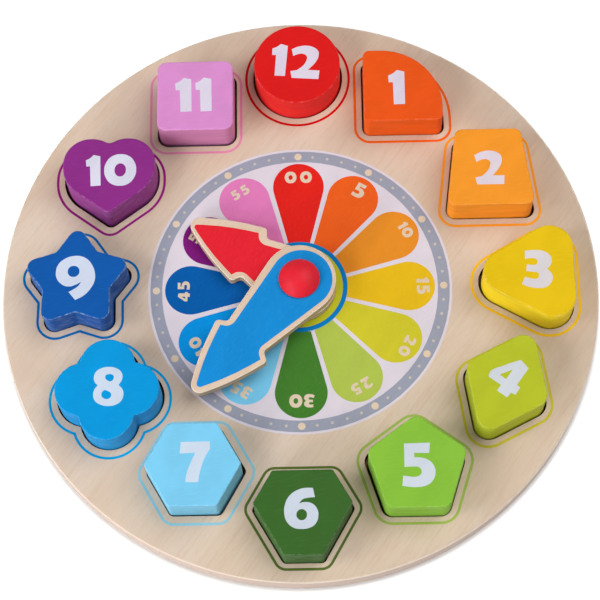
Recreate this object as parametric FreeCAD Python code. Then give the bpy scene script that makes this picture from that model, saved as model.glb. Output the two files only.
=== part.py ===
import FreeCAD, Part
import math
import os

# A wooden teaching clock that is also a shape sorter. Twelve loose number blocks,
# each of another shape, stand in matching pockets round a printed dial, and two
# arrow hands turn by hand, each by itself, on a dowel under a domed knob.
# Millimetres. The origin is the centre of the board's underside, +Z comes out of
# the dial face and +Y points to twelve o'clock. Angles are degrees, clockwise
# from twelve o'clock where they are called clock angles.

Vector = FreeCAD.Vector
CENTRE = Vector(0, 0, 0)
UP = Vector(0, 0, 1)

# Board: two glued boards, the upper one cut right through for the pockets
board_diameter = 290.0
base_board_thickness = 4.0
pocket_board_thickness = 8.0
board_edge_radius = 0.9

# Pockets: the wall left outside the outermost one, and the mean wall between
# neighbours. Each one's clock angle, and its distance from the middle as a share
# of the pocket ring's radius
rim_wall = 8.65
pocket_wall = 12.2
pocket_ring_shares = {
    1: (27.6, 1.0487),
    2: (59.4, 1.0053),
    3: (89.6, 1.0385),
    4: (119.3, 1.0182),
    5: (150.6, 0.9883),
    6: (179.9, 1.039),
    7: (208.6, 0.9568),
    8: (239.2, 0.9717),
    9: (270.9, 0.9817),
    10: (300.5, 0.9877),
    11: (332.5, 1.0022),
    12: (0.2, 1.0435),
}

# Blocks: how far they stand above the board, the gap all round in the pocket,
# and how far each one lies off the pocket's middle, to the right and towards
# twelve, as shares of that gap
block_rise = 17.0
pocket_clearance = 1.1
block_arris_radius = 0.7
block_lie_shares = {
    1: (-0.18, -0.7),
    2: (-0.5, -0.5),
    3: (0.24, -0.57),
    4: (-0.22, -0.56),
    5: (0.42, -0.57),
    6: (0.03, -0.7),
    7: (-0.44, -0.35),
    8: (0.05, -0.59),
    9: (0.05, -0.7),
    10: (0.25, 0.15),
    11: (0.0, 0.14),
    12: (0.0, -0.41),
}

# Outlines of the blocks, as shares of the mean block width
quarter_side_share = 0.9255
quarter_great_radius_share = 0.728
quarter_corner_share = 0.076
trapezoid_top_share = 0.76
trapezoid_bottom_share = 1.012
trapezoid_height_share = 0.962
trapezoid_corner_share = 0.09
triangle_side_share = 1.498
triangle_corner_share = 0.262
rhombus_side_share = 0.871
rhombus_corner_share = 0.155
rhombus_acute_angle = 72.0
rhombus_clock_angle = 27.5
pentagon_circumradius_share = 0.583
pentagon_corner_share = 0.107
cut_triangle_long_side_share = 0.669
cut_triangle_short_side_share = 0.426
cut_triangle_corner_share = 0.036
hexagon_width_share = 1.0754
hexagon_height_share = 0.9446
hexagon_corner_share = 0.0476
quatrefoil_lobe_share = 0.3117
quatrefoil_offset_share = 0.276
quatrefoil_notch_share = 0.036
star_tip_circumradius_share = 0.6686
star_notch_circumradius_share = 0.405
star_tip_corner_share = 0.107
star_notch_corner_share = 0.071
heart_width_share = 1.076
heart_height_share = 0.938
square_side_share = 0.897
square_corner_share = 0.11
circle_diameter_share = 1.023

# Right half of the heart, from the point at the bottom up to the dip at the top:
# shares of half the width, of half the height, and the corner's radius as a
# share of half the width
heart_corner_shares = [
    (0.0, -1.03, 0.12),
    (1.0, -0.19, 0.72),
    (1.0, 1.0, 0.588),
    (0.226, 1.0, 0.588),
    (0.0, 0.85, 0.177),
]

# Dowel on which the hands turn, its knob and the two thin washers
dowel_diameter = 8.0
dowel_glue_gap = 0.05
hand_running_clearance = 0.08
knob_diameter = 19.8
knob_edge_height = 0.9
knob_dome_height = 5.2
knob_foot_chamfer = 0.4
knob_bore_depth = 4.0
knob_end_play = 0.2
washer_diameter = 26.0
washer_thickness = 0.5
washer_bore_gap = 0.15

# Hands: both have the same hub and arrow head, and differ in reach. The minute
# hand's tip stays clear of the blocks. Widths are shares of the hub's radius and
# lengths of the head are shares of the minute hand's reach
hand_thickness = 5.7
hand_arris_radius = 0.6
hub_diameter = 35.4
hand_tip_gap = 8.6
hour_reach_share = 0.8355
head_length_share = 0.447
head_barb_width_share = 0.92
head_barb_radius_share = 0.125
head_middle_width_share = 0.6
head_middle_to_tip_share = 0.202
head_side_radius_share = 1.62
head_apex_overrun_share = 0.066
neck_width_share = 0.65
neck_to_barb_share = 0.164
neck_radius_share = 0.124
hour_hand_clock_angle = 302.9
minute_hand_clock_angle = 222.4

# Worked out from the sizes above
board_radius = board_diameter / 2
board_thickness = base_board_thickness + pocket_board_thickness
ring_pitch_share = 2 * math.sin(math.pi / 12)
outermost_share = pocket_ring_shares[12][1]
innermost_share = pocket_ring_shares[7][1]
half_circle_share = circle_diameter_share / 2
block_spacing = pocket_wall + 2 * pocket_clearance
pocket_ring_radius = (
    board_radius - rim_wall - pocket_clearance + half_circle_share * block_spacing
) / (outermost_share + half_circle_share * ring_pitch_share)
block_width = ring_pitch_share * pocket_ring_radius - block_spacing
block_thickness = pocket_board_thickness + block_rise
dowel_radius = dowel_diameter / 2
dowel_hole_radius = dowel_radius + dowel_glue_gap
hand_bore_radius = dowel_radius + hand_running_clearance
hub_radius = hub_diameter / 2
minute_reach = innermost_share * pocket_ring_radius - block_width / 2 - hand_tip_gap
hour_reach = hour_reach_share * minute_reach
lower_washer_level = board_thickness
hour_hand_level = lower_washer_level + washer_thickness
hand_washer_level = hour_hand_level + hand_thickness
minute_hand_level = hand_washer_level + washer_thickness
knob_level = minute_hand_level + hand_thickness + knob_end_play
dowel_length = knob_level + knob_bore_depth - base_board_thickness
cut_overrun = washer_thickness
smallest_length = dowel_glue_gap / 100


def on_clock(clock_angle, distance):
    """The point at a distance from the middle in a clock direction."""
    turn = math.radians(clock_angle)
    return Vector(distance * math.sin(turn), distance * math.cos(turn), 0)


def moved_sides(corners, outset):
    """Corner points of a counter-clockwise outline with every side moved outwards."""
    points = [Vector(x, y, 0) for x, y, radius in corners]
    count = len(points)
    ways = []
    for index in range(count):
        ways.append((points[(index + 1) % count] - points[index]).normalize())
    moved = []
    for index in range(count):
        before = ways[index - 1]
        after = ways[index]
        out_before = Vector(before.y, -before.x, 0)
        out_after = Vector(after.y, -after.x, 0)
        mitre = out_before + out_after
        stretch = outset / (mitre.dot(out_after))
        moved.append(points[index] + mitre * stretch)
    return moved, ways


def rounded_outline(corners, outset):
    """A closed wire through rounded corners, each given as x, y and radius.

    The outset moves every side outwards: outer corners get rounder by it and
    inner corners sharper. A corner's radius gives way where its sides are too short."""
    points, ways = moved_sides(corners, outset)
    count = len(points)
    turns = []
    radii = []
    for index in range(count):
        before = ways[index - 1]
        after = ways[index]
        turn = math.atan2(before.cross(after).z, before.dot(after))
        grown = corners[index][2] + math.copysign(outset, turn)
        turns.append(turn)
        radii.append(max(grown, 0))
    runs = [radii[index] * math.tan(abs(turns[index]) / 2) for index in range(count)]
    room = []
    for index in range(count):
        following = (index + 1) % count
        side = (points[following] - points[index]).Length
        wanted = max(runs[index] + runs[following], smallest_length)
        room.append(min(side / wanted, 1))
    starts = []
    ends = []
    for index in range(count):
        run = runs[index] * min(room[index - 1], room[index])
        starts.append(points[index] - ways[index - 1] * run)
        ends.append(points[index] + ways[index] * run)
    edges = []
    for index in range(count):
        start = starts[index]
        end = ends[index]
        if (end - start).Length > smallest_length:
            half_turn = abs(turns[index]) / 2
            run = (start - points[index]).Length
            radius = run / math.tan(half_turn)
            inwards = ((start + end) * 0.5 - points[index]).normalize()
            centre = points[index] + inwards * (radius / math.cos(half_turn))
            edges.append(Part.Arc(start, centre - inwards * radius, end).toShape())
        next_start = starts[(index + 1) % count]
        if (next_start - end).Length > smallest_length:
            edges.append(Part.LineSegment(end, next_start).toShape())
    return Part.Wire(edges)


def mirrored_corners(right_half):
    """The whole outline from its right half, listed from bottom to top."""
    left_half = [(-x, y, radius) for x, y, radius in reversed(right_half) if x != 0]
    return right_half + left_half


def regular_corners(count, circumradius, corner_radius, first_angle):
    """Corners of a regular polygon, the first at an angle from +X."""
    corners = []
    for index in range(count):
        turn = math.radians(first_angle + index * 360 / count)
        corners.append((circumradius * math.cos(turn), circumradius * math.sin(turn), corner_radius))
    return corners


def turned_corners(corners, clock_angle):
    """The same corners turned clockwise."""
    turn = math.radians(clock_angle)
    across = math.cos(turn)
    along = math.sin(turn)
    return [(x * across + y * along, y * across - x * along, radius) for x, y, radius in corners]


def quarter_outline(outset):
    half = quarter_side_share * block_width / 2
    great_radius = quarter_great_radius_share * block_width
    corner_radius = quarter_corner_share * block_width
    corners = [
        (half, -half, corner_radius),
        (half, half, great_radius),
        (-half, half, corner_radius),
        (-half, -half, corner_radius),
    ]
    return rounded_outline(corners, outset)


def trapezoid_outline(outset):
    half_height = trapezoid_height_share * block_width / 2
    corner_radius = trapezoid_corner_share * block_width
    right_half = [
        (trapezoid_bottom_share * block_width / 2, -half_height, corner_radius),
        (trapezoid_top_share * block_width / 2, half_height, corner_radius),
    ]
    return rounded_outline(mirrored_corners(right_half), outset)


def triangle_outline(outset):
    circumradius = triangle_side_share * block_width / math.sqrt(3)
    corners = regular_corners(3, circumradius, triangle_corner_share * block_width, 180)
    return rounded_outline(corners, outset)


def rhombus_outline(outset):
    half_acute = math.radians(rhombus_acute_angle / 2)
    side = rhombus_side_share * block_width
    long_half = side * math.cos(half_acute)
    short_half = side * math.sin(half_acute)
    corner_radius = rhombus_corner_share * block_width
    upright = [
        (0, -long_half, corner_radius),
        (short_half, 0, corner_radius),
        (0, long_half, corner_radius),
        (-short_half, 0, corner_radius),
    ]
    return rounded_outline(turned_corners(upright, rhombus_clock_angle), outset)


def pentagon_outline(outset):
    circumradius = pentagon_circumradius_share * block_width
    corners = regular_corners(5, circumradius, pentagon_corner_share * block_width, 90)
    return rounded_outline(corners, outset)


def cut_triangle_outline(outset):
    """A triangle that points down, with its three points cut off."""
    long_side = cut_triangle_long_side_share * block_width
    short_side = cut_triangle_short_side_share * block_width
    corner_radius = cut_triangle_corner_share * block_width
    whole_side = long_side + 2 * short_side
    shoulder_drop = short_side * math.sqrt(3) / 2
    top = whole_side / math.sqrt(12)
    bottom = shoulder_drop - whole_side / math.sqrt(3)
    right_half = [
        (short_side / 2, bottom, corner_radius),
        ((long_side + short_side) / 2, top - shoulder_drop, corner_radius),
        (long_side / 2, top, corner_radius),
    ]
    return rounded_outline(mirrored_corners(right_half), outset)


def hexagon_outline(outset):
    """A hexagon with a corner to the right and to the left, a little flatter than a regular one."""
    half_width = hexagon_width_share * block_width / 2
    half_height = hexagon_height_share * block_width / 2
    corner_radius = hexagon_corner_share * block_width
    right_half = [
        (half_width / 2, -half_height, corner_radius),
        (half_width, 0, corner_radius),
        (half_width / 2, half_height, corner_radius),
    ]
    return rounded_outline(mirrored_corners(right_half), outset)


def quatrefoil_outline(outset):
    """Four lobes, right, up, left and down, that meet in eased notches on the diagonals."""
    radius = quatrefoil_lobe_share * block_width + outset
    offset = quatrefoil_offset_share * block_width
    notch_radius = max(quatrefoil_notch_share * block_width - outset, 0)
    reach = radius + notch_radius
    notch = (offset + math.sqrt(2 * reach ** 2 - offset ** 2)) / 2
    notch_centre = Vector(notch, notch, 0)
    towards_lobe = (Vector(offset, 0, 0) - notch_centre) * (notch_radius / reach)
    meeting = notch_centre + towards_lobe
    mirrored_meeting = Vector(meeting.y, meeting.x, 0)
    inwards = Vector(1, 1, 0).normalize()
    notch_floor = notch_centre - inwards * notch_radius
    lobe = [Vector(meeting.x, -meeting.y, 0), Vector(offset + radius, 0, 0), meeting]
    dip = [meeting, notch_floor, mirrored_meeting]
    edges = []
    for quarter in range(4):
        turn = FreeCAD.Rotation(UP, quarter * 90)
        edges.append(Part.Arc(*[turn.multVec(point) for point in lobe]).toShape())
        if notch_radius > smallest_length:
            edges.append(Part.Arc(*[turn.multVec(point) for point in dip]).toShape())
    return Part.Wire(edges)


def star_outline(outset):
    tip_circumradius = star_tip_circumradius_share * block_width
    notch_circumradius = star_notch_circumradius_share * block_width
    tips = regular_corners(5, tip_circumradius, star_tip_corner_share * block_width, 90)
    notches = regular_corners(5, notch_circumradius, star_notch_corner_share * block_width, 126)
    corners = [corner for pair in zip(tips, notches) for corner in pair]
    return rounded_outline(corners, outset)


def heart_outline(outset):
    half_width = heart_width_share * block_width / 2
    half_height = heart_height_share * block_width / 2
    right_half = []
    for across_share, up_share, radius_share in heart_corner_shares:
        corner = (across_share * half_width, up_share * half_height, radius_share * half_width)
        right_half.append(corner)
    return rounded_outline(mirrored_corners(right_half), outset)


def square_outline(outset):
    circumradius = square_side_share * block_width / math.sqrt(2)
    corners = regular_corners(4, circumradius, square_corner_share * block_width, 45)
    return rounded_outline(corners, outset)


def circle_outline(outset):
    return Part.Wire(Part.makeCircle(circle_diameter_share * block_width / 2 + outset))


# Each hour's block: its name and its outline
block_designs = {
    1: ("quarter_round", quarter_outline),
    2: ("trapezoid", trapezoid_outline),
    3: ("triangle", triangle_outline),
    4: ("rhombus", rhombus_outline),
    5: ("pentagon", pentagon_outline),
    6: ("cut_triangle", cut_triangle_outline),
    7: ("hexagon", hexagon_outline),
    8: ("quatrefoil", quatrefoil_outline),
    9: ("star", star_outline),
    10: ("heart", heart_outline),
    11: ("square", square_outline),
    12: ("circle", circle_outline),
}


def prism(wire, level, height):
    """A straight solid on a flat outline, standing at a level."""
    return Part.Face(wire).translated(UP * level).extrude(UP * height)


def flat_edges(solid, level):
    """The solid's edges that lie flat at this level."""
    found = []
    for edge in solid.Edges:
        box = edge.BoundBox
        if max(abs(box.ZMin - level), abs(box.ZMax - level)) < smallest_length:
            found.append(edge)
    return found


def rounded_at(solid, radius, level):
    return solid.makeFillet(radius, flat_edges(solid, level))


def bevelled_at(solid, size, level):
    return solid.makeChamfer(size, flat_edges(solid, level))


def pocket_centre(hour):
    clock_angle, distance_share = pocket_ring_shares[hour]
    return on_clock(clock_angle, distance_share * pocket_ring_radius)


def base_board():
    disc = Part.makeCylinder(board_radius, base_board_thickness)
    return rounded_at(disc, board_edge_radius, 0)


def pocket_board():
    """The upper board, with a cut right through for every block and the dowel's hole."""
    level = base_board_thickness
    disc = Part.makeCylinder(board_radius, pocket_board_thickness, UP * level)
    board = rounded_at(disc, board_edge_radius, board_thickness)
    cut_level = level - cut_overrun
    cut_height = pocket_board_thickness + 2 * cut_overrun
    cutters = [Part.makeCylinder(dowel_hole_radius, cut_height, UP * cut_level)]
    for hour, (name, outline) in block_designs.items():
        cutter = prism(outline(pocket_clearance), cut_level, cut_height)
        cutters.append(cutter.translated(pocket_centre(hour)))
    return board.cut(cutters)


def number_block(hour):
    """One loose block, standing on the base board in its pocket."""
    name, outline = block_designs[hour]
    bottom = base_board_thickness
    block = prism(outline(0), bottom, block_thickness)
    block = rounded_at(block, block_arris_radius, bottom + block_thickness)
    block = bevelled_at(block, block_arris_radius, bottom)
    right_share, up_share = block_lie_shares[hour]
    lie = Vector(right_share * pocket_clearance, up_share * pocket_clearance, 0)
    return block.translated(pocket_centre(hour) + lie)


def hand_corners(reach):
    """Right half of a hand that points to +Y: round hub, tapering arm, notch and arrow head."""
    barb_up = reach - head_length_share * minute_reach
    neck_up = barb_up - neck_to_barb_share * hub_radius
    middle_up = reach - head_middle_to_tip_share * minute_reach
    apex_overrun = head_apex_overrun_share * minute_reach
    apex_up = reach + apex_overrun
    barb_half_width = head_barb_width_share * hub_radius
    middle_half_width = head_middle_width_share * hub_radius
    neck_half_width = neck_width_share * hub_radius
    neck_distance = math.hypot(neck_half_width, neck_up)
    arm_turn = math.asin(hub_radius / neck_distance) - math.atan2(neck_half_width, neck_up)
    foot_half_width = neck_half_width + (neck_up + hub_radius) * math.tan(arm_turn)
    half_point = math.atan2(middle_half_width, apex_up - middle_up)
    tip_radius = apex_overrun / (1 / math.sin(half_point) - 1)
    return [
        (foot_half_width, -hub_radius, hub_radius),
        (neck_half_width, neck_up, neck_radius_share * hub_radius),
        (barb_half_width, barb_up, head_barb_radius_share * hub_radius),
        (middle_half_width, middle_up, head_side_radius_share * minute_reach),
        (0, apex_up, tip_radius),
    ]


def clock_hand(reach, level, clock_angle):
    wire = rounded_outline(mirrored_corners(hand_corners(reach)), 0)
    plate = prism(wire, level, hand_thickness)
    hand = rounded_at(plate, hand_arris_radius, level + hand_thickness)
    hand = bevelled_at(hand, hand_arris_radius, level)
    bore_height = hand_thickness + 2 * cut_overrun
    hand = hand.cut(Part.makeCylinder(hand_bore_radius, bore_height, UP * (level - cut_overrun)))
    return hand.rotated(CENTRE, UP, -clock_angle)


def washer(level):
    disc = Part.makeCylinder(washer_diameter / 2, washer_thickness, UP * level)
    bore_height = washer_thickness + 2 * cut_overrun
    bore_level = level - cut_overrun
    bore = Part.makeCylinder(dowel_radius + washer_bore_gap, bore_height, UP * bore_level)
    return disc.cut(bore)


def centre_dowel():
    """The glued dowel, from the base board up into the knob."""
    return Part.makeCylinder(dowel_radius, dowel_length, UP * base_board_thickness)


def knob():
    """A low dome turned on a short edge, bored from below for the dowel."""
    radius = knob_diameter / 2
    dome_rise = knob_dome_height
    dome_radius = (radius ** 2 + dome_rise ** 2) / (2 * dome_rise)
    foot = knob_level
    shoulder = foot + knob_edge_height
    crown = shoulder + dome_rise
    half_span = math.asin(radius / dome_radius) / 2
    dome_centre = crown - dome_radius
    middle = Vector(dome_radius * math.sin(half_span), 0, dome_centre + dome_radius * math.cos(half_span))
    edge = Vector(radius, 0, shoulder)
    profile = [
        Part.LineSegment(Vector(0, 0, foot), Vector(radius - knob_foot_chamfer, 0, foot)),
        Part.LineSegment(
            Vector(radius - knob_foot_chamfer, 0, foot), Vector(radius, 0, foot + knob_foot_chamfer)
        ),
        Part.LineSegment(Vector(radius, 0, foot + knob_foot_chamfer), edge),
        Part.Arc(edge, middle, Vector(0, 0, crown)),
        Part.LineSegment(Vector(0, 0, crown), Vector(0, 0, foot)),
    ]
    section = Part.Face(Part.Wire([piece.toShape() for piece in profile]))
    dome = section.revolve(CENTRE, UP, 360)
    bore = Part.makeCylinder(dowel_hole_radius, knob_bore_depth + cut_overrun, UP * (foot - cut_overrun))
    return dome.cut(bore)


def main():
    parts = {
        "base_board": base_board(),
        "pocket_board": pocket_board(),
        "centre_dowel": centre_dowel(),
        "lower_washer": washer(lower_washer_level),
        "hour_hand": clock_hand(hour_reach, hour_hand_level, hour_hand_clock_angle),
        "hand_washer": washer(hand_washer_level),
        "minute_hand": clock_hand(minute_reach, minute_hand_level, minute_hand_clock_angle),
        "knob": knob(),
    }
    for hour, (name, outline) in block_designs.items():
        parts[f"block_{hour:02d}_{name}"] = number_block(hour)
    os.makedirs("parts", exist_ok=True)
    for node, shape in parts.items():
        shape.exportStep(f"parts/{node}.step")


main()
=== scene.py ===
import math

import bpy
from mathutils import Matrix, Vector


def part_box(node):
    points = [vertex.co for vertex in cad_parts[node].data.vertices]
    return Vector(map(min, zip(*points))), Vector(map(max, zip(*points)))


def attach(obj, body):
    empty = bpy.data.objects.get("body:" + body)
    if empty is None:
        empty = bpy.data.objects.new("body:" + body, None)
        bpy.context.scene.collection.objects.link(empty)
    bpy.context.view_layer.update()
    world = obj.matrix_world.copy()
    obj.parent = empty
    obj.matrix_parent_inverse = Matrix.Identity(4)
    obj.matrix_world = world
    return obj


# A wooden teaching clock with twelve loose number blocks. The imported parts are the
# fixed frame. This script gives them wood and paint, and adds what is printed on
# them as thin films. Metres, with the board's underside at zero, +Z out of the dial
# face and +Y to twelve o'clock. Clock angles are degrees, clockwise from twelve.

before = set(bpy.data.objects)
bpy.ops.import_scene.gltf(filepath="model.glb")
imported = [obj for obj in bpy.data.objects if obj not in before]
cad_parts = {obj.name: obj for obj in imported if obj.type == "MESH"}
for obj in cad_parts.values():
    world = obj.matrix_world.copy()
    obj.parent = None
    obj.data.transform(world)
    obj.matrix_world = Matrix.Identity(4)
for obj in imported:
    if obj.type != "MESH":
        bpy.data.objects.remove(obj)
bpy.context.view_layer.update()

MM = 0.001
FULL_TURN = 2 * math.pi

# Levels and reaches taken from the frame
board_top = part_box("pocket_board")[1].z
board_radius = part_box("pocket_board")[1].x
block_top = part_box("block_12_circle")[1].z
hour_hand_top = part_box("hour_hand")[1].z
minute_hand_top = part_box("minute_hand")[1].z

# Printed films: how far one stands proud of what is under it, and how deep it
# sinks in so that no gap shows
film_step = 0.02 * MM
film_root = 0.03 * MM

# Outlines: the angle between the points of an arc, the steps between two points of a
# smooth line, the least length two corners are taken to need of the side between
# them, and the length below which a corner is drawn sharp
arc_step = math.radians(5)
smooth_steps = 5
least_run = 0.03 * MM
sharp_run = 0.02 * MM

# Pocket ring, as the board is cut: its radius, the mean width of a block, and for each
# hour the pocket's clock angle and its share of the ring's radius
pocket_ring_radius = 109.01 * MM
block_width = 42.03 * MM
pocket_ring_shares = {
    1: (27.6, 1.0487),
    2: (59.4, 1.0053),
    3: (89.6, 1.0385),
    4: (119.3, 1.0182),
    5: (150.6, 0.9883),
    6: (179.9, 1.039),
    7: (208.6, 0.9568),
    8: (239.2, 0.9717),
    9: (270.9, 0.9817),
    10: (300.5, 0.9877),
    11: (332.5, 1.0022),
    12: (0.2, 1.0435),
}

# The line printed round each pocket: its width, then for each hour how far its middle
# lies outside the block's outline and how far it is shifted on the board, in
# millimetres, and its colour
loop_width = 1.25 * MM
pocket_loops = {
    1: (4.35, (-0.1, -0.15), (243, 103, 18)),
    2: (4.1, (-0.1, -0.5), (251, 163, 42)),
    3: (4.2, (-0.2, -0.2), (251, 199, 18)),
    4: (3.9, (-0.25, -0.55), (208, 195, 51)),
    5: (4.4, (0.15, 0.3), (166, 190, 88)),
    6: (4.2, (0.0, 0.4), (90, 112, 46)),
    7: (4.75, (0.1, -0.2), (151, 207, 225)),
    8: (4.2, (-0.25, -0.75), (0, 162, 217)),
    9: (4.3, (0.15, -0.15), (3, 109, 179)),
    10: (4.0, (-0.5, -0.95), (154, 26, 128)),
    11: (3.9, (-0.7, -0.6), (229, 141, 175)),
    12: (4.5, (-0.1, -0.2), (206, 4, 8)),
}

# Dial print: angles in degrees
hour_angle = 30
minute_angle = 6
dial_radius = 74.1 * MM
minute_ring_inner = 67.2 * MM
minute_ring_outer = 72.9 * MM
dot_circle_radius = 70.0 * MM
hour_dot_radius = 1.8 * MM
minute_dot_radius = 0.7 * MM
petal_end_radius = 12.6 * MM
petal_apex_distance = 3.0 * MM
petal_foot_distance = 22.4 * MM
hub_print_shift = (-0.15 * MM, 0.75 * MM)
hub_ring_radius = 23.45 * MM
hub_disc_radius = 21.2 * MM

# Colours as they look, 0 to 255. First the blocks: each with its piece and its paint
block_paints = {
    1: ("block_01_quarter_round", (243, 88, 22)),
    2: ("block_02_trapezoid", (255, 158, 43)),
    3: ("block_03_triangle", (240, 200, 15)),
    4: ("block_04_rhombus", (188, 198, 42)),
    5: ("block_05_pentagon", (140, 196, 62)),
    6: ("block_06_cut_triangle", (60, 105, 43)),
    7: ("block_07_hexagon", (127, 208, 245)),
    8: ("block_08_quatrefoil", (6, 153, 222)),
    9: ("block_09_star", (17, 88, 170)),
    10: ("block_10_heart", (143, 47, 136)),
    11: ("block_11_square", (224, 146, 210)),
    12: ("block_12_circle", (228, 27, 27)),
}
# Petals: colour, and how far from the middle the centre of the round end lies, in
# millimetres
petals = {
    0: ((232, 34, 26), 53.6),
    5: ((246, 98, 28), 53.6),
    10: ((236, 145, 38), 53.4),
    15: ((237, 191, 24), 53.1),
    20: ((213, 203, 46), 53.1),
    25: ((180, 198, 80), 53.1),
    30: ((68, 127, 44), 53.4),
    35: ((124, 206, 244), 53.3),
    40: ((0, 148, 230), 53.4),
    45: ((0, 92, 172), 53.1),
    50: ((128, 24, 124), 51.5),
    55: ((231, 128, 190), 53.6),
}
# Minute numbers: x and y of the middle, height and gap between the digits, in millimetres
minute_numbers = {
    0: (0.0, 58.9, 6.3, 1.8),
    5: (30.3, 51.0, 7.9, 0.0),
    10: (52.6, 29.4, 5.5, 0.6),
    15: (60.0, -0.1, 6.3, 1.1),
    20: (51.2, -30.9, 5.5, 1.25),
    25: (28.9, -50.5, 5.8, 1.4),
    30: (0.3, -57.4, 6.7, 0.85),
    35: (-28.6, -51.4, 6.2, 1.0),
    40: (-49.3, -29.7, 5.9, 1.1),
    45: (-56.6, -0.6, 5.95, 1.2),
    50: (-50.0, 30.0, 5.5, 1.2),
    55: (-28.9, 51.4, 5.2, 1.55),
}
dial_white = (228, 218, 228)
minute_ring_grey = (160, 163, 180)
minute_dot_grey = (206, 196, 186)
hub_ring_blue = (0, 130, 205)
hub_disc_lime = (200, 200, 40)
hour_hand_red = (233, 35, 50)
minute_hand_blue = (20, 142, 218)
knob_red = (240, 36, 54)
washer_ivory = (225, 220, 212)

# Wood: the light and the dark tone of each kind of surface, then single tones
board_face = ((224, 204, 186), (214, 191, 170))
board_edge = ((234, 214, 202), (208, 184, 170))
# The pocket floors: darker and browner than the board's face, as painted shade of the narrow gaps round the
# blocks
pocket_floor_shade_tones = ((172, 128, 94), (154, 110, 78))
hand_face = ((232, 208, 186), (219, 192, 168))
hand_edge = ((214, 188, 160), (186, 158, 128))
unprinted = ((228, 210, 188), (220, 198, 174))
# Paler tones on the rounded edges of the board and the hands: painted highlights
board_edge_highlight = (244, 228, 212)
hand_edge_highlight = (252, 240, 224)
# Dark brown on the pocket walls: painted shade of the gaps round the blocks
pocket_wall_shade_brown = (80, 42, 24)

# Clock angles of the grain in wood and paint, and how thick a light and a dark ply
# are together. The board's rim stays pale, and its walls nearer the middle than
# this band, round the pockets, are drawn dark brown as painted shade
board_grain_angle = 36
hand_grain_angle = 40
mottle_angle = 35
paint_grain_angle = 80
rub_and_sheen_angle = 20
board_ply_pair = 1.33 * MM
hand_ply_pair = 2.85 * MM
plain_ply_pair = 4 * MM
pale_rim_band = 3 * MM

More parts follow.
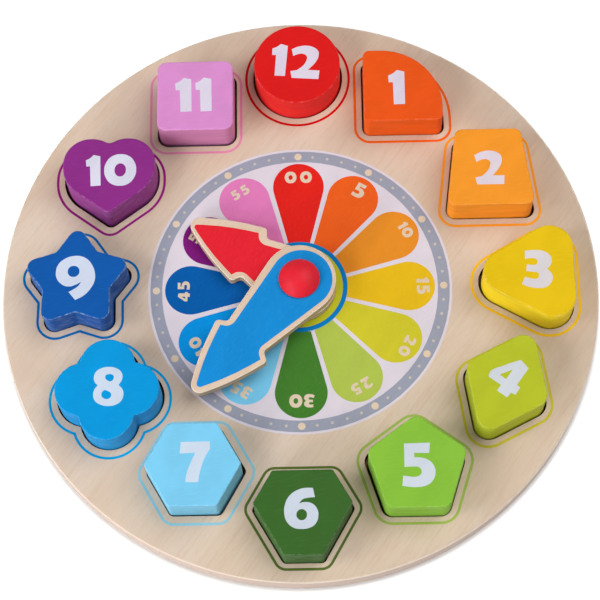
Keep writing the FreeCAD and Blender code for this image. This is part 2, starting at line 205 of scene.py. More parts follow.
# Digits, drawn round their middle. Each loop lists x and y. The line turns sharply at
# the points marked as corners and runs smoothly through the others
CORNER = "corner"
glyph_height = 20
glyphs = {
    "0": [
        [(0, 10), (5, 8.7), (8.2, 4.9), (9.3, 0), (8.2, -4.9), (5, -8.7), (0, -10), (-5, -8.7),
         (-8.2, -4.9), (-9.3, 0), (-8.2, 4.9), (-5, 8.7)],
        [(0, 4.2), (2.4, 2.9), (3.3, 0), (2.4, -2.9), (0, -4.2), (-2.4, -2.9), (-3.3, 0),
         (-2.4, 2.9)],
    ],
    "1": [
        [(0.3, 10, CORNER), (4.2, 8.9, CORNER), (3.7, -10, CORNER), (-2.2, -10, CORNER),
         (-2.1, 2.9, CORNER), (-4.3, 2.9, CORNER), (-4.4, 6.9, CORNER), (-1.9, 8.1)],
    ],
    "2": [
        [(-7.9, 7.5, CORNER), (-4.1, 9.3), (-0.2, 10), (3.9, 9.2), (6.5, 7), (6.9, 4.2), (5.7, 0.6),
         (1.6, -4.7, CORNER), (7.9, -4.8, CORNER), (7.5, -10, CORNER), (-7, -9.9, CORNER),
         (-7.9, -5.8, CORNER), (-4.4, -5.1, CORNER), (-1.2, -2.2), (0.4, 0.9), (0.5, 3.5),
         (-1.1, 4.8), (-3.8, 4.8), (-6.9, 3.4, CORNER)],
    ],
    "3": [
        [(-5.3, 9.7, CORNER), (-0.6, 10), (4, 9.3), (6.9, 7.1), (7.6, 4.3), (6.6, 1.5),
         (5, 0, CORNER), (6.9, -2), (7.6, -4.5), (6.4, -7.6), (3.8, -9.6), (0.4, -10), (-3.7, -9.4),
         (-7.6, -7.8, CORNER), (-5.9, -4, CORNER), (-2.7, -4.9), (0.1, -4.9), (1, -3.5),
         (0.4, -1.9), (-1.7, -1.5), (-5.1, -1, CORNER), (-4.6, 2.6, CORNER), (-1.7, 2.1),
         (0.1, 2.5), (0.6, 3.8), (0.1, 5.2), (-2, 5.8), (-5.3, 5.4, CORNER)],
    ],
    "4": [
        [(0.8, 10, CORNER), (6.2, 8.5, CORNER), (6.1, -1.9, CORNER), (8.2, -2.1, CORNER),
         (8.3, -6.6, CORNER), (5.9, -6.8, CORNER), (5.7, -10, CORNER), (-0.3, -9.8, CORNER),
         (-0.2, -6.3, CORNER), (-7.5, -6.2, CORNER), (-8.2, -4.1), (-7.7, -1.7), (-5.1, 2),
         (-2.5, 5.8)],
        [(0.2, 3.7, CORNER), (0.2, -2.4, CORNER), (-3.7, -2.3, CORNER)],
    ],
    "5": [
        [(-6, 9.8, CORNER), (5.4, 10, CORNER), (4.9, 5.3, CORNER), (-1.7, 5.5, CORNER),
         (-1.7, 3.4, CORNER), (1.4, 3.3), (5, 1.8), (6.9, -0.7), (7.4, -3.3), (6.1, -7.1),
         (3.4, -9.2), (-1.4, -10), (-7.3, -9.3, CORNER), (-6.8, -4.7, CORNER), (-4.3, -5.1),
         (-1.4, -5.3), (0.8, -4.4), (1.3, -2.7), (0.3, -1.1), (-2.4, -0.7), (-6.1, -0.8, CORNER)],
    ],
    "6": [
        [(5.7, 9.9, CORNER), (6.6, 5.4, CORNER), (3.2, 5.1), (0.7, 4.4), (-0.9, 2.5, CORNER),
         (1.7, 3.1), (5.1, 2.4), (7.5, -0.2), (8.1, -3.4), (6.6, -7.6), (3.8, -9.4), (0.3, -9.9),
         (-3.5, -9.3), (-6.7, -6.6), (-8, -2.7), (-7.7, 2), (-5.4, 6.4), (-1.2, 9.2), (2.6, 10)],
        [(0.2, -0.3), (2, -1.1), (2.7, -3), (2, -4.9), (0.2, -5.7), (-1.6, -4.9), (-2.3, -3),
         (-1.6, -1.1)],
    ],
    "7": [
        [(-6.8, 9.9, CORNER), (7, 9.9, CORNER), (7.2, 6.3, CORNER), (5.2, 3), (3.3, -1.8),
         (2.1, -6.6), (1.6, -9.9, CORNER), (-4.5, -9.8, CORNER), (-4, -6.1), (-2.3, -1.1),
         (0.2, 4.5, CORNER), (-7.2, 4.2, CORNER)],
    ],
    "8": [
        [(0, 10), (3.7, 9.2), (6.3, 6.9), (6.7, 4), (5, 0.6, CORNER), (6.8, -1.5), (7.4, -4),
         (6.4, -7.4), (3.7, -9.4), (0.3, -10), (-3.6, -9.3), (-6.5, -7.2), (-7.4, -4.1),
         (-6.8, -1.4), (-5.3, 0.6, CORNER), (-6.8, 2.4), (-7.3, 4.7), (-6.2, 7.7), (-3.6, 9.4)],
        [(-1.7, 5.3), (0, 6.3), (2, 5.8), (2.5, 4.3), (1.4, 2.7), (-0.8, 3.2)],
        [(-1.9, -1.9), (-3.4, -3.9), (-2.3, -6), (-0.2, -6.4), (1.3, -5.2), (1.1, -3.3),
         (-0.4, -2.3)],
    ],
    "9": [
        [(0.2, -10, CORNER), (-2.7, -6.4, CORNER), (-0.3, -5), (1.4, -3.7), (2.5, -1.9, CORNER),
         (0.3, -3.1), (-2.9, -3.9), (-5.9, -2.7), (-8, 0.2), (-8.3, 2.9), (-7.4, 6.1), (-4.8, 8.6),
         (-0.9, 9.9), (2.2, 9.7), (4.9, 8.3), (7.1, 5.4), (8.3, 1.7), (8.1, -1.9), (6.3, -5.4),
         (3.7, -8.1)],
        [(-0.8, 5.4), (1, 4.7), (1.7, 2.9), (1, 1.1), (-0.8, 0.4), (-2.6, 1.1), (-3.3, 2.9),
         (-2.6, 4.7)],
    ],
}
# Widths of the digits that stand side by side in the minute numbers
glyph_widths = {"0": 18.6, "1": 8.6, "2": 15.8, "3": 15.2, "4": 16.5, "5": 14.7}

# Digits on the blocks: each with its middle, to the right of the dowel's axis and
# towards twelve, its height, all in millimetres, and the clock angle it is turned by
block_digits = {
    1: [("1", 50.0, 99.2, 18.9, -1)],
    2: [("2", 93.6, 54.5, 18.0, 0)],
    3: [("3", 113.5, 0.95, 19.5, 0)],
    4: [("4", 97.3, -51.9, 19.1, 36)],
    5: [("5", 53.7, -94.4, 21.0, 0)],
    6: [("6", -0.5, -113.9, 19.3, 0)],
    7: [("7", -49.3, -91.0, 19.5, 0)],
    8: [("8", -90.1, -53.7, 19.2, 0)],
    9: [("9", -107.3, 1.2, 22.7, 0)],
    10: [("1", -99.9, 57.3, 16.6, -3.5), ("0", -86.9, 57.3, 16.9, 0)],
    11: [("1", -56.0, 97.5, 18.7, -2.5), ("1", -46.0, 97.5, 18.7, -2.5)],
    12: [("1", -8.3, 115.8, 17.8, 4), ("2", 4.7, 114.2, 18.4, 4)],
}
# The white of the digits looks a little different on each block
digit_whites = {
    1: (231, 218, 235),
    2: (235, 220, 230),
    3: (230, 222, 224),
    4: (216, 221, 227),
    5: (214, 223, 232),
    6: (209, 218, 231),
    7: (210, 225, 242),
    8: (205, 219, 237),
    9: (210, 219, 239),
    10: (222, 221, 238),
    11: (229, 220, 238),
    12: (229, 218, 234),
}

# How much bare wood shows through the paint on a block's sides, the sides' colour where
# it differs from the top's, lighter or darker as painted light and shade, and how much
# the upper edge is paled, partly as wear and partly as a painted highlight; the other
# blocks have the usual shares
side_bare_shares = {3: 0.0, 4: 0.1, 5: 0.15, 6: 0.22, 7: 0.25, 8: 0.15, 9: 0.33, 10: 0.18}
lit_side_paints = {
    1: (243, 98, 22),
    3: (255, 224, 40),
    10: (156, 64, 148),
    11: (216, 140, 188),
    12: (242, 44, 42),
}
edge_wear_and_highlight_shares = {3: 0.5, 7: 0.4, 9: 0.75}
usual_side_bare = 0.04
usual_edge_wear_and_highlight = 0.3

# Hands: their sizes, and for each printed panel how far it keeps inside the hand's
# outline, how much further it reaches, how it was printed askew, and the radius of the
# hole in it for what stands on the hand's hub
hub_radius = 17.7 * MM
minute_reach = 74.69 * MM
hour_reach = 62.4 * MM
minute_panel = {
    "inset": 2.7 * MM,
    "longer": 0.5 * MM,
    "clock_angle": 223.1,
    "shift": (0.96 * MM, -0.04 * MM),
    "hole_radius": 5 * MM,
}
hour_panel = {
    "inset": 3.05 * MM,
    "longer": 0.47 * MM,
    "clock_angle": 301.8,
    "shift": (-0.08 * MM, -0.13 * MM),
    "hole_radius": 13.5 * MM,
}

# The photograph's viewpoint: above the six o'clock side, a little right of the middle
camera_place = (14.3 * MM, -312.6 * MM, 844.6 * MM)
camera_aim = (0, -6.2 * MM, 12 * MM)
camera_roll = math.radians(3.65)
focal_length_in_pixels = 1826.3
picture_width_in_pixels = 600
sensor_width = 36

# Lights, all aimed at the origin: place and diameter in metres, power in watts
lights = {
    "left_light": ((-0.6, -0.2, 0.55), 0.35, 2.15),
    "front_light": ((-1.4, -1.9, 0.9), 1.4, 31),
    "right_light": ((1.0, 0.5, 1.8), 2.0, 27),
}
# The white surroundings: their strength as a light and as a background
ambient_strength = 0.2
background_strength = 1.0

# Floor: its size, its grey, and how strongly it glows for the camera. The glow grows
# over a span of distances from the dowel, from one strength to another: once just
# outside the board, and once more further out. Distances in metres
floor_size = 6.0
floor_grey = 0.8
near_glow = {
    "low": board_radius + 0.2 * MM,
    "high": board_radius + 2.5 * MM,
    "out_low": 0.05,
    "out_high": 0.5,
}
far_glow = {"low": 0.25, "high": 0.9, "out_low": 0.0, "out_high": 0.6}


def linear(colour):
    """A colour as it looks, 0 to 255, in the renderer's linear values."""
    shares = [value / 255 for value in colour]
    curve = [share / 12.92 if share <= 0.04045 else ((share + 0.055) / 1.055) ** 2.4 for share in shares]
    return (*curve, 1)


def tinted(colour, shares):
    """A colour with each channel scaled by its own share, in linear values."""
    return linear([channel * share for channel, share in zip(colour, shares)])


def dimmed(colour, share):
    return tinted(colour, (share, share, share))


def paled(colour, grey, share):
    """A colour moved a share of the way to this level of grey, in linear values."""
    return linear([channel + (grey - channel) * share for channel in colour])


class Look:
    """One procedural material, built node by node."""

    def __init__(self, name, roughness, specular=0.5):
        self.material = bpy.data.materials.new(name)
        self.material.use_nodes = True
        self.tree = self.material.node_tree
        self.shader = self.tree.nodes["Principled BSDF"]
        self.shader.inputs["Roughness"].default_value = roughness
        self.shader.inputs["Specular IOR Level"].default_value = specular
        self.place = self.add("ShaderNodeTexCoord").outputs["Object"]

    def add(self, kind, inputs=None, **settings):
        """A new node with these settings. Its inputs are set to values or linked to sockets."""
        node = self.tree.nodes.new(kind)
        for name, value in settings.items():
            setattr(node, name, value)
        for name, value in (inputs or {}).items():
            socket = node.inputs[name]
            if isinstance(value, bpy.types.NodeSocket):
                self.tree.links.new(value, socket)
            else:
                socket.default_value = value
        return node

    def noise(self, clock_angle, lengths, detail, roughness, distortion=0.0):
        """Noise turned to a clock angle, its spots this long in millimetres along X, Y and Z."""
        rotation = (0, 0, math.radians(clock_angle))
        turned_place = self.add("ShaderNodeMapping", {"Vector": self.place, "Rotation": rotation})
        scale = tuple(1 / (length * MM) for length in lengths)
        stretched = self.add("ShaderNodeMapping", {"Vector": turned_place.outputs[0], "Scale": scale})
        inputs = {
            "Vector": stretched.outputs[0],
            "Scale": 1.0,
            "Detail": detail,
            "Roughness": roughness,
            "Distortion": distortion,
        }
        return self.add("ShaderNodeTexNoise", inputs).outputs["Fac"]

    def ranged(self, value, low, high, out_low=0.0, out_high=1.0):
        """A smooth step from one output to the other while the value goes from low to high."""
        inputs = {"Value": value, "From Min": low, "From Max": high, "To Min": out_low, "To Max": out_high}
        return self.add("ShaderNodeMapRange", inputs, interpolation_type="SMOOTHSTEP").outputs["Result"]

    def band(self, value, rise, fall):
        """1 for values between the two spans, 0 below the first and above the second."""
        rising = self.ranged(value, *rise)
        falling = self.ranged(value, *fall, 1.0, 0.0)
        return self.maths("MULTIPLY", rising, falling)

    def maths(self, operation, first, second=0.0):
        return self.add("ShaderNodeMath", {0: first, 1: second}, operation=operation).outputs[0]

    def length(self, vector):
        node = self.add("ShaderNodeVectorMath", {0: vector}, operation="LENGTH")
        return node.outputs["Value"]

    def upward(self):
        """The Z part of the surface's direction: 1 on flat tops and 0 on upright sides."""
        normal = self.add("ShaderNodeTexCoord").outputs["Normal"]
        return self.add("ShaderNodeSeparateXYZ", {"Vector": normal}).outputs["Z"]

    def mixed(self, share, first, second):
        """Two colours mixed. The node's colour inputs are 6 and 7, its colour output is 2."""
        return self.add("ShaderNodeMix", {0: share, 6: first, 7: second}, data_type="RGBA").outputs[2]

    def finish(self, colour, bump, bump_depth, roughness=None):
        """Connect the colour, the bumps and, where it varies, the roughness."""
        self.tree.links.new(colour, self.shader.inputs["Base Color"])
        if roughness is not None:
            self.tree.links.new(roughness, self.shader.inputs["Roughness"])
        node = self.add("ShaderNodeBump", {"Height": bump, "Distance": bump_depth, "Strength": 1.0})
        self.tree.links.new(node.outputs["Normal"], self.shader.inputs["Normal"])
        return self.material


def wood_pattern(look, tones, clock_angle):
    """Pale fine-grained wood: broad clouds, faint streaks and short fine fibres along the grain."""
    light, dark = tones
    clouds = look.noise(clock_angle, (26, 60, 60), detail=3.0, roughness=0.5, distortion=0.5)
    warmth = look.noise(clock_angle, (45, 45, 45), detail=2.0, roughness=0.5)
    streaks = look.noise(clock_angle, (1.5, 32, 32), detail=4.0, roughness=0.62, distortion=0.3)
    fibres = look.noise(clock_angle, (0.5, 4.5, 4.5), detail=2.0, roughness=0.55)
    yellow = tinted(light, (1.0, 0.985, 0.95))
    deep = tinted(dark, (0.97, 0.92, 0.87))
    body = look.mixed(look.ranged(clouds, 0.3, 0.7), linear(dark), linear(light))
    body = look.mixed(look.ranged(warmth, 0.4, 0.65, out_high=0.5), body, yellow)
    body = look.mixed(look.ranged(streaks, 0.45, 0.75, out_high=0.4), body, deep)
    body = look.mixed(look.ranged(fibres, 0.52, 0.74, out_high=0.32), body, deep)
    return body, fibres


def bare_wood(name, face, edge, arris_highlight, clock_angle, ply_pair, shaded_wall_radius=None):
    """Sanded bare plywood: face grain above, the plies as soft lines on the upright edges.

    Face and edge are a light and a dark tone each. Walls nearer the middle than the
    shaded wall radius are drawn dark brown as painted shade in the pockets, and the
    rounded edges take a paler tone as a painted highlight."""
    look = Look(name, 0.6, specular=0.12)
    grain, fibres = wood_pattern(look, face, clock_angle)
    edge_light, edge_dark = [linear(tone) for tone in edge]
    height = look.add("ShaderNodeSeparateXYZ", {"Vector": look.place}).outputs["Z"]
    wave = look.maths("SINE", look.maths("MULTIPLY", height, FULL_TURN / ply_pair))
    plies = look.mixed(look.ranged(wave, -0.6, 0.6), edge_dark, edge_light)
    edge_grain = look.noise(clock_angle, (2, 2, 0.5), detail=3.0, roughness=0.6)
    plies = look.mixed(look.ranged(edge_grain, 0.4, 0.75, out_high=0.4), plies, edge_dark)
    # Walls nearer the middle than the shaded wall radius are drawn dark brown: painted shade in the pockets
    if shaded_wall_radius:
        flat = look.add("ShaderNodeVectorMath", {0: look.place, 1: (1, 1, 0)}, operation="MULTIPLY")
        is_shaded_wall = look.maths("LESS_THAN", look.length(flat.outputs[0]), shaded_wall_radius)
        plies = look.mixed(is_shaded_wall, plies, linear(pocket_wall_shade_brown))
    steepness = look.maths("ABSOLUTE", look.upward())
    body = look.mixed(look.ranged(steepness, 0.1, 0.4, 1.0, 0.0), grain, plies)
    # The rounded edges drawn paler: painted highlight
    highlight_band = look.band(steepness, (0.2, 0.5), (0.8, 0.99))
    body = look.mixed(look.maths("MULTIPLY", highlight_band, 0.8), body, linear(arris_highlight))
    roughness = look.ranged(fibres, 0.2, 0.8, 0.55, 0.7)
    return look.finish(body, fibres, 0.005 * MM, roughness)


def block_paint(name, colour, lit_side_colour, bare_share, wear_and_highlight_share):
    """Thin satin paint: even on the face, thinner down the sides, paled along the upper edge partly by
    rubbing and partly as a painted highlight, and on the sides lighter or darker as painted light and shade.
    """
    look = Look(name, 0.45, specular=0.06)
    clouds = look.noise(mottle_angle, (14, 22, 14), detail=3.0, roughness=0.5)
    grain = look.noise(paint_grain_angle, (0.8, 7, 7), detail=3.0, roughness=0.6)
    face = look.mixed(look.ranged(clouds, 0.35, 0.65), linear(colour), dimmed(colour, 0.97))
    face = look.mixed(look.ranged(grain, 0.48, 0.72, out_high=0.7), face, paled(colour, 255, 0.03))
    layers = look.noise(0, (26, 26, 4), detail=3.0, roughness=0.5, distortion=0.2)
    threads = look.noise(0, (12, 12, 0.8), detail=3.0, roughness=0.6)
    patches = look.noise(0, (5, 5, 3.5), detail=3.0, roughness=0.6)
    # The sides take their own colour, lighter or darker than the face: painted light and shade
    wall = look.mixed(look.ranged(layers, 0.4, 0.62), linear(lit_side_colour), dimmed(lit_side_colour, 0.96))
    showing = look.maths("MULTIPLY", look.ranged(threads, 0.36, 0.7), look.ranged(patches, 0.36, 0.64))
    wall = look.mixed(look.maths("MULTIPLY", showing, bare_share), wall, paled(colour, 220, 0.75))
    upwards = look.upward()
    body = look.mixed(look.ranged(upwards, 0.1, 0.5, 1.0, 0.0), face, wall)
    # The upper edge is paled, partly as wear and partly as a painted highlight
    arris_highlight = look.band(upwards, (0.02, 0.25), (0.75, 0.98))
    rubs_and_sheen = look.ranged(look.noise(rub_and_sheen_angle, (2.2, 2.2, 2.2), detail=4.0, roughness=0.75), 0.4, 0.66)
    worn_and_lit = look.maths("MULTIPLY", look.maths("MULTIPLY", arris_highlight, rubs_and_sheen), wear_and_highlight_share)
    body = look.mixed(worn_and_lit, body, paled(colour, 250, 0.6))
    roughness = look.ranged(clouds, 0.2, 0.8, 0.4, 0.5)
    return look.finish(body, grain, 0.004 * MM, roughness)


def ink(name, colour, roughness=0.55):
    """Printed ink on wood: almost even, with the fine mottle of the grain below."""
    look = Look(name, roughness, specular=0.06)
    mottle = look.noise(mottle_angle, (0.6, 3, 1), detail=3.0, roughness=0.6)
    clouds = look.noise(mottle_angle, (14, 36, 12), detail=3.0, roughness=0.5)
    body = look.mixed(look.ranged(clouds, 0.3, 0.7), linear(colour), dimmed(colour, 0.96))
    body = look.mixed(look.ranged(mottle, 0.46, 0.74, out_high=0.6), body, paled(colour, 235, 0.08))
    return look.finish(body, mottle, 0.004 * MM)


def knob_lacquer(name, colour):
    """Satin lacquer on a turned knob, with a faint ripple."""
    look = Look(name, 0.5, specular=0.2)
    ripple = look.noise(0, (5, 5, 5), detail=3.0, roughness=0.55)
    speck = look.noise(0, (0.5, 0.5, 0.5), detail=2.0, roughness=0.5)
    body = look.mixed(look.ranged(ripple, 0.3, 0.7), linear(colour), dimmed(colour, 0.95))
    return look.finish(body, speck, 0.003 * MM)


def matt_plastic(name, colour):
    """Moulded plastic with a fine, even texture."""
    look = Look(name, 0.5)
    speck = look.noise(0, (1, 1, 1), detail=3.0, roughness=0.6)
    body = look.mixed(look.ranged(speck, 0.3, 0.7), linear(colour), dimmed(colour, 0.93))
    return look.finish(body, speck, 0.01 * MM)


def on_clock(clock_angle, distance):
    """The place at a clock angle and a distance from the middle of the board."""
    turn = math.radians(clock_angle)
    return Vector((distance * math.sin(turn), distance * math.cos(turn)))


def turned(points, clock_angle):
    """Points of a flat outline turned clockwise about the middle."""
    turn = math.radians(clock_angle)
    across = math.cos(turn)
    along = math.sin(turn)
    return [Vector((x * across + y * along, y * across - x * along)) for x, y in points]


def shifted(points, offset):
    return [Vector((x + offset[0], y + offset[1])) for x, y in points]


def arc_points(centre, radius, start, sweep):
    """Points along an arc, its ends included. Angles in radians from +X, counter-clockwise."""
    steps = max(1, math.ceil(abs(sweep) / arc_step))
    points = []
    for step in range(steps + 1):
        angle = start + sweep * step / steps
        points.append(Vector((centre[0] + radius * math.cos(angle), centre[1] + radius * math.sin(angle))))
    return points


def circle_points(radius, centre=(0, 0)):
    return arc_points(centre, radius, 0, FULL_TURN)[:-1]


def rounded_points(corners, outset=0.0):
    """A closed outline through rounded corners, moved outwards by the outset.

    Corners are x, y and radius, counter-clockwise. Outer corners get rounder by the
    outset and inner corners sharper."""
    count = len(corners)
    points = [Vector(corner[:2]) for corner in corners]
    ways = [(points[(i + 1) % count] - points[i]).normalized() for i in range(count)]
    moved = []
    for i in range(count):
        mitre = Vector((ways[i - 1].y, -ways[i - 1].x)) + Vector((ways[i].y, -ways[i].x))
        moved.append(points[i] + mitre * (outset / mitre.dot(Vector((ways[i].y, -ways[i].x)))))
    turns = []
    runs = []
    for i in range(count):
        before = ways[i - 1]
        after = ways[i]
        turn = math.atan2(before.x * after.y - before.y * after.x, before.dot(after))
        radius = max(corners[i][2] + outset * math.copysign(1, turn), 0)
        turns.append(turn)
        runs.append(radius * math.tan(abs(turn) / 2))
    room = []
    for i in range(count):
        side = (moved[(i + 1) % count] - moved[i]).length
        room.append(min(1, side / max(runs[i] + runs[(i + 1) % count], least_run)))
    outline = []
    for i in range(count):
        run = runs[i] * min(room[i - 1], room[i])
        if run < sharp_run:
            outline.append(moved[i])
            continue
        radius = run / math.tan(abs(turns[i]) / 2)
        side = math.copysign(1, turns[i])
        start = moved[i] - ways[i - 1] * run
        centre = start + Vector((-ways[i - 1].y, ways[i - 1].x)) * (radius * side)
        first = math.atan2(start.y - centre.y, start.x - centre.x)
        outline.extend(arc_points(centre, radius, first, turns[i]))
    return outline


def regular_corners(count, circumradius, radius, first_degrees):
    """Corners of a regular shape, counter-clockwise, the first at this angle from +X."""
    corners = []
    for i in range(count):
        angle = math.radians(first_degrees + 360 * i / count)
        corners.append((circumradius * math.cos(angle), circumradius * math.sin(angle), radius))
    return corners


def mirrored(right_half):
    """A whole outline from its right half, which is listed from the foot up."""
    return right_half + [(-x, y, radius) for x, y, radius in reversed(right_half) if x != 0]


def scaled(corners):
    """Corners given as shares of the mean block width."""
    return [(x * block_width, y * block_width, radius * block_width) for x, y, radius in corners]


def pocket_corners(hour):
    """Corners of a block's outline round its middle, as shares of the mean block width."""
    if hour == 1:
        # A square with one great round corner
        half = 0.9255 / 2
        radius = 0.076
        great_radius = 0.728
        square = [(half, -half), (half, half), (-half, half), (-half, -half)]
        return [(x, y, great_radius if x > 0 and y > 0 else radius) for x, y in square]
    if hour == 2:
        # A trapezoid, wider at its foot
        half_foot = 1.012 / 2
        half_top = 0.76 / 2
        half_height = 0.962 / 2
        radius = 0.09
        return mirrored([(half_foot, -half_height, radius), (half_top, half_height, radius)])
    if hour == 3:
        # A rounded triangle that points to nine o'clock
        side = 1.498
        return regular_corners(3, circumradius=side / math.sqrt(3), radius=0.262, first_degrees=180)
    if hour == 4:
        # A rhombus, turned on the board
        side = 0.871
        half_angle = math.radians(36)
        long_half = side * math.cos(half_angle)
        short_half = side * math.sin(half_angle)
        radius = 0.155
        clock_angle = 27.5
        upright = [(0, -long_half), (short_half, 0), (0, long_half), (-short_half, 0)]
        return [(point.x, point.y, radius) for point in turned(upright, clock_angle)]
    if hour == 5:
        # A pentagon
        return regular_corners(5, circumradius=0.583, radius=0.107, first_degrees=90)
    if hour == 6:
        # A triangle with its points cut off
        long_side = 0.669
        short_side = 0.426
        radius = 0.036
        whole_side = long_side + 2 * short_side
        drop = short_side * math.sqrt(3) / 2
        top = whole_side / math.sqrt(12)
        return mirrored([
            (short_side / 2, drop - whole_side / math.sqrt(3), radius),
            ((long_side + short_side) / 2, top - drop, radius),
            (long_side / 2, top, radius),
        ])
    if hour == 7:
        # A hexagon, wider than high
        half_width = 1.0754 / 2
        half_height = 0.9446 / 2
        radius = 0.0476
        return mirrored([
            (half_width / 2, -half_height, radius),
            (half_width, 0, radius),
            (half_width / 2, half_height, radius),
        ])
    if hour == 9:
        # A star with five rounded points
        tips = regular_corners(5, circumradius=0.6686, radius=0.107, first_degrees=90)
        notches = regular_corners(5, circumradius=0.405, radius=0.071, first_degrees=126)
        return [corner for pair in zip(tips, notches) for corner in pair]
    if hour == 10:
        # A heart
        half_width = 1.076 / 2
        half_height = 0.938 / 2
        shares = [(0, -1.03, 0.12), (1, -0.19, 0.72), (1, 1, 0.588), (0.226, 1, 0.588), (0, 0.85, 0.177)]
        corners = [(x * half_width, y * half_height, radius * half_width) for x, y, radius in shares]
        return mirrored(corners)
    # Eleven, a rounded square
    side = 0.897
    return regular_corners(4, circumradius=side / math.sqrt(2), radius=0.11, first_degrees=45)


def pocket_outline(hour, outset):
    """A block's outline moved outwards, at its pocket's place on the board."""
    if hour == 12:
        width = 1.023 * block_width
        points = circle_points(width / 2 + outset)
    elif hour == 8:
        # A quatrefoil: four arcs that meet in notches
        radius = 0.3117 * block_width + outset
        offset = 0.276 * block_width
        notch = (offset + math.sqrt(2 * radius ** 2 - offset ** 2)) / 2
        half_sweep = math.atan2(notch, notch - offset)
        points = []
        for quarter in range(4):
            lobe = arc_points((offset, 0), radius, -half_sweep, 2 * half_sweep)[:-1]
            points.extend(turned(lobe, -90 * quarter))
    else:
        points = rounded_points(scaled(pocket_corners(hour)), outset)
    clock_angle, share = pocket_ring_shares[hour]
    return shifted(points, on_clock(clock_angle, share * pocket_ring_radius))


def hand_corners(reach):
    """Right half of a hand that points to twelve: round hub, tapering arm, notch and arrow head."""
    barb_up = reach - 0.447 * minute_reach
    neck_up = barb_up - 0.164 * hub_radius
    middle_up = reach - 0.202 * minute_reach
    apex_overrun = 0.066 * minute_reach
    neck_half_width = 0.65 * hub_radius
    barb_half_width = 0.92 * hub_radius
    middle_half_width = 0.6 * hub_radius
    neck_radius = 0.124 * hub_radius
    barb_radius = 0.125 * hub_radius
    flank_radius = 1.62 * minute_reach
    neck_distance = math.hypot(neck_half_width, neck_up)
    arm_turn = math.asin(hub_radius / neck_distance) - math.atan2(neck_half_width, neck_up)
    foot_half_width = neck_half_width + (neck_up + hub_radius) * math.tan(arm_turn)
    half_point = math.atan2(middle_half_width, reach + apex_overrun - middle_up)
    tip_radius = apex_overrun / (1 / math.sin(half_point) - 1)
    return [
        (foot_half_width, -hub_radius, hub_radius),
        (neck_half_width, neck_up, neck_radius),
        (barb_half_width, barb_up, barb_radius),
        (middle_half_width, middle_up, flank_radius),
        (0, reach + apex_overrun, tip_radius),
    ]


def film(name, loops, level, body, material):
    """A thin closed slab of print on a flat face. Loops inside another loop are holes.

    A loop is a list of points, or of (point, corner) pairs where the line runs
    smoothly through the points that are no corner."""
    curve = bpy.data.curves.new(name, "CURVE")
    curve.dimensions = "2D"
    curve.fill_mode = "BOTH"
    curve.extrude = (film_step + film_root) / 2
    curve.resolution_u = smooth_steps
    for loop in loops:
        if isinstance(loop[0], tuple):
            spline = curve.splines.new("BEZIER")
            spline.bezier_points.add(len(loop) - 1)
            for target, (point, corner) in zip(spline.bezier_points, loop):
                target.co = (point[0], point[1], 0)
                kind = "VECTOR" if corner else "AUTO"
                target.handle_left_type = kind
                target.handle_right_type = kind
        else:
            spline = curve.splines.new("POLY")
            spline.points.add(len(loop) - 1)
            for target, point in zip(spline.points, loop):
                target.co = (point[0], point[1], 0, 1)
        spline.use_cyclic_u = True
    drawn = bpy.data.objects.new(name, curve)
    bpy.context.scene.collection.objects.link(drawn)
    bpy.context.view_layer.update()
    mesh = bpy.data.meshes.new_from_object(drawn.evaluated_get(bpy.context.evaluated_depsgraph_get()))
    bpy.data.objects.remove(drawn)
    mesh.name = name
    mesh.transform(Matrix.Translation((0, 0, level + (film_step - film_root) / 2)))
    mesh.materials.clear()
    mesh.materials.append(material)
    piece = bpy.data.objects.new(name, mesh)
    bpy.context.scene.collection.objects.link(piece)
    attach(piece, body)


def digit_loops(digit, height, offset, clock_angle, centre):
    """A digit's loops: scaled, shifted in its own upright frame, turned, then placed."""
    scale = height / glyph_height
    drawn = []
    for loop in glyphs[digit]:
        upright = [(point[0] * scale + offset[0], point[1] * scale + offset[1]) for point in loop]
        placed = shifted(turned(upright, clock_angle), centre)
        drawn.append([(place, CORNER in point) for place, point in zip(placed, loop)])
    return drawn


def dress_nodes():
    """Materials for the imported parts."""
    board_wood = bare_wood("board_wood", board_face, board_edge, board_edge_highlight, board_grain_angle,
                           board_ply_pair, shaded_wall_radius=board_radius - pale_rim_band)
    # The base board's face, seen only as the pocket floors, takes the darker tones: painted shade
    pocket_floor_shaded_wood = bare_wood("pocket_floor_shaded_wood", pocket_floor_shade_tones, board_edge, board_edge_highlight,
                                  board_grain_angle, board_ply_pair)
    hand_wood = bare_wood("hand_wood", hand_face, hand_edge, hand_edge_highlight, hand_grain_angle, hand_ply_pair)
    dowel_wood = bare_wood("dowel_wood", board_face, board_face, board_face[0], 0, plain_ply_pair)
    washer_plastic = matt_plastic("washer_plastic", washer_ivory)
    looks = {
        "base_board": pocket_floor_shaded_wood,
        "pocket_board": board_wood,
        "centre_dowel": dowel_wood,
        "hour_hand": hand_wood,
        "minute_hand": hand_wood,
        "lower_washer": washer_plastic,
        "hand_washer": washer_plastic,
        "knob": knob_lacquer("knob_lacquer", knob_red),
    }
    for hour, (node, colour) in block_paints.items():
        bare_share = side_bare_shares.get(hour, usual_side_bare)
        wear_and_highlight_share = edge_wear_and_highlight_shares.get(hour, usual_edge_wear_and_highlight)
        lit_side_colour = lit_side_paints.get(hour, colour)
        looks[node] = block_paint(node + "_paint", colour, lit_side_colour, bare_share, wear_and_highlight_share)
    for node, look in looks.items():
        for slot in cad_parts[node].material_slots:
            slot.material = look


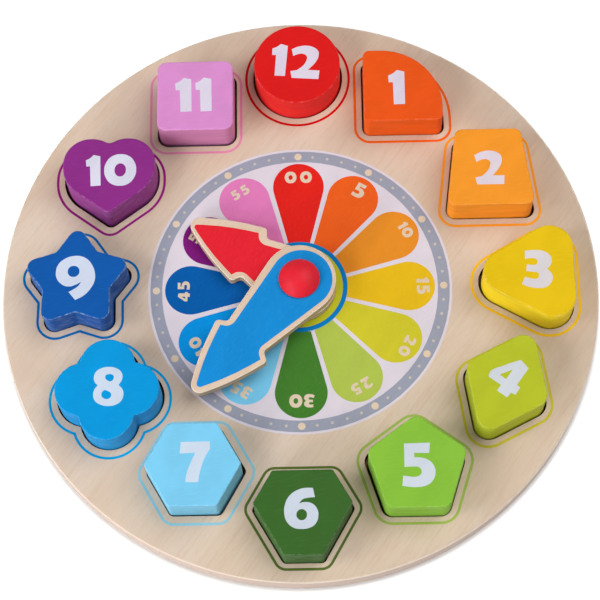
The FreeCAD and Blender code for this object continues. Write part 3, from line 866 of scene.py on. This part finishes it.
def print_board():
    """The dial and the lines round the pockets, each film one step above what it covers."""
    disc_level, ring_level, mark_level, hub_level = [board_top + step * film_step for step in range(4)]
    film("dial_disc", [circle_points(dial_radius)], disc_level, "board", ink("ink_dial_white", dial_white))
    ring = [circle_points(minute_ring_outer), circle_points(minute_ring_inner)]
    film("minute_ring", ring, ring_level, "board", ink("ink_ring_grey", minute_ring_grey))
    bare = bare_wood("bare_dots", unprinted, unprinted, unprinted[0], board_grain_angle, plain_ply_pair)
    hours = [hour * hour_angle for hour in range(12)]
    hour_dots = [circle_points(hour_dot_radius, on_clock(angle, dot_circle_radius)) for angle in hours]
    film("hour_dots", hour_dots, mark_level, "board", bare)
    minutes = [minute * minute_angle for minute in range(60) if minute not in petals]
    minute_dots = [circle_points(minute_dot_radius, on_clock(angle, dot_circle_radius)) for angle in minutes]
    film("minute_dots", minute_dots, mark_level, "board", ink("ink_minute_dots", minute_dot_grey))
    for minute, (colour, end_distance) in petals.items():
        half_angle = math.asin(petal_end_radius / (end_distance * MM - petal_apex_distance))
        foot_half_width = (petal_foot_distance - petal_apex_distance) * math.tan(half_angle)
        foot = [Vector((side * foot_half_width, petal_foot_distance)) for side in (-1, 1)]
        end = arc_points((0, end_distance * MM), petal_end_radius, -half_angle, math.pi + 2 * half_angle)
        petal = turned(foot + end, minute * minute_angle)
        film(f"petal_{minute:02d}", [petal], ring_level, "board", ink(f"ink_petal_{minute:02d}", colour))
    for minute, (x, y, height, gap) in minute_numbers.items():
        digits = f"{minute:02d}" if minute == 0 else str(minute)
        widths = [glyph_widths[digit] * height / glyph_height for digit in digits]
        start = -(sum(widths) + gap * (len(digits) - 1)) / 2
        centre = (x * MM, y * MM)
        number = []
        for digit, width in zip(digits, widths):
            offset = ((start + width / 2) * MM, 0)
            number.extend(digit_loops(digit, height * MM, offset, minute * minute_angle, centre))
            start += width + gap
        film(f"minute_number_{minute:02d}", number, mark_level, "board", bare)
    hub_ring = shifted(circle_points(hub_ring_radius), hub_print_shift)
    hub_disc = shifted(circle_points(hub_disc_radius), hub_print_shift)
    film("hub_ring", [hub_ring], mark_level, "board", ink("ink_hub_blue", hub_ring_blue))
    film("hub_disc", [hub_disc], hub_level, "board", ink("ink_hub_lime", hub_disc_lime))
    for hour, (outset, shift, colour) in pocket_loops.items():
        offset = (shift[0] * MM, shift[1] * MM)
        outer = shifted(pocket_outline(hour, outset * MM + loop_width / 2), offset)
        inner = shifted(pocket_outline(hour, outset * MM - loop_width / 2), offset)
        film(f"loop_{hour:02d}", [outer, inner], board_top, "board", ink(f"ink_loop_{hour:02d}", colour))


def print_blocks():
    """The white digits on the blocks."""
    for hour, digits in block_digits.items():
        outlines = []
        for digit, x, y, height, clock_angle in digits:
            outlines.extend(digit_loops(digit, height * MM, (0, 0), clock_angle, (x * MM, y * MM)))
        white = ink(f"ink_digit_{hour:02d}", digit_whites[hour])
        film(f"digit_{hour:02d}", outlines, block_top, block_paints[hour][0], white)


def print_hand(body, level, reach, panel, colour):
    """The printed panel of a hand: the hand's own outline kept a margin inside, a little askew."""
    outline = rounded_points(mirrored(hand_corners(reach + panel["longer"])), -panel["inset"])
    placed = shifted(turned(outline, panel["clock_angle"]), panel["shift"])
    hole = circle_points(panel["hole_radius"])
    name = body + "_panel"
    film(name, [placed, hole], level, body, ink("ink_" + name, colour, roughness=0.45))


def set_camera():
    """A camera at the photograph's viewpoint, rolled a little about its own axis."""
    place = Vector(camera_place)
    ahead = (Vector(camera_aim) - place).normalized()
    level_right = ahead.cross(Vector((0, 0, 1))).normalized()
    right = Matrix.Rotation(camera_roll, 3, ahead) @ level_right
    up = right.cross(ahead)
    turn = Matrix((right, up, -ahead)).transposed()
    data = bpy.data.cameras.new("camera")
    data.sensor_width = sensor_width
    data.lens = sensor_width * focal_length_in_pixels / picture_width_in_pixels
    camera = bpy.data.objects.new("camera", data)
    camera.matrix_world = Matrix.Translation(place) @ turn.to_4x4()
    bpy.context.scene.collection.objects.link(camera)
    bpy.context.scene.camera = camera


def set_lights():
    """The lamps, and white surroundings that are brighter to the camera than as a light."""
    for name, (place, size, power) in lights.items():
        data = bpy.data.lights.new(name, "AREA")
        data.shape = "DISK"
        data.size = size
        data.energy = power
        light = bpy.data.objects.new(name, data)
        light.location = place
        light.rotation_euler = (-Vector(place)).to_track_quat("-Z", "Y").to_euler()
        bpy.context.scene.collection.objects.link(light)
    world = bpy.data.worlds.new("studio")
    bpy.context.scene.world = world
    world.use_nodes = True
    tree = world.node_tree
    background = tree.nodes["Background"]
    background.inputs["Color"].default_value = (1, 1, 1, 1)
    path = tree.nodes.new("ShaderNodeLightPath")
    seen = tree.nodes.new("ShaderNodeMapRange")
    seen.inputs["To Min"].default_value = ambient_strength
    seen.inputs["To Max"].default_value = background_strength
    tree.links.new(path.outputs["Is Camera Ray"], seen.inputs["Value"])
    tree.links.new(seen.outputs["Result"], background.inputs["Strength"])


def set_floor():
    """A white floor that looks white to the camera and keeps the clock's shadow."""
    half = floor_size / 2
    corners = [(-half, -half, 0), (half, -half, 0), (half, half, 0), (-half, half, 0)]
    mesh = bpy.data.meshes.new("floor")
    mesh.from_pydata(corners, [], [(0, 1, 2, 3)])
    floor = bpy.data.objects.new("floor", mesh)
    bpy.context.scene.collection.objects.link(floor)
    look = Look("floor_white", 0.9, specular=0.1)
    distance = look.length(look.place)
    glow = look.maths("ADD", look.ranged(distance, **near_glow), look.ranged(distance, **far_glow))
    camera_ray = look.add("ShaderNodeLightPath").outputs["Is Camera Ray"]
    shown = look.maths("MULTIPLY", camera_ray, glow)
    look.shader.inputs["Base Color"].default_value = (floor_grey, floor_grey, floor_grey, 1)
    look.shader.inputs["Emission Color"].default_value = (1, 1, 1, 1)
    look.tree.links.new(shown, look.shader.inputs["Emission Strength"])
    mesh.materials.append(look.material)


dress_nodes()
print_board()
print_blocks()
print_hand("minute_hand", minute_hand_top, minute_reach, minute_panel, minute_hand_blue)
print_hand("hour_hand", hour_hand_top, hour_reach, hour_panel, hour_hand_red)
set_camera()
set_lights()
set_floor()
bpy.context.scene.view_settings.view_transform = "Standard"
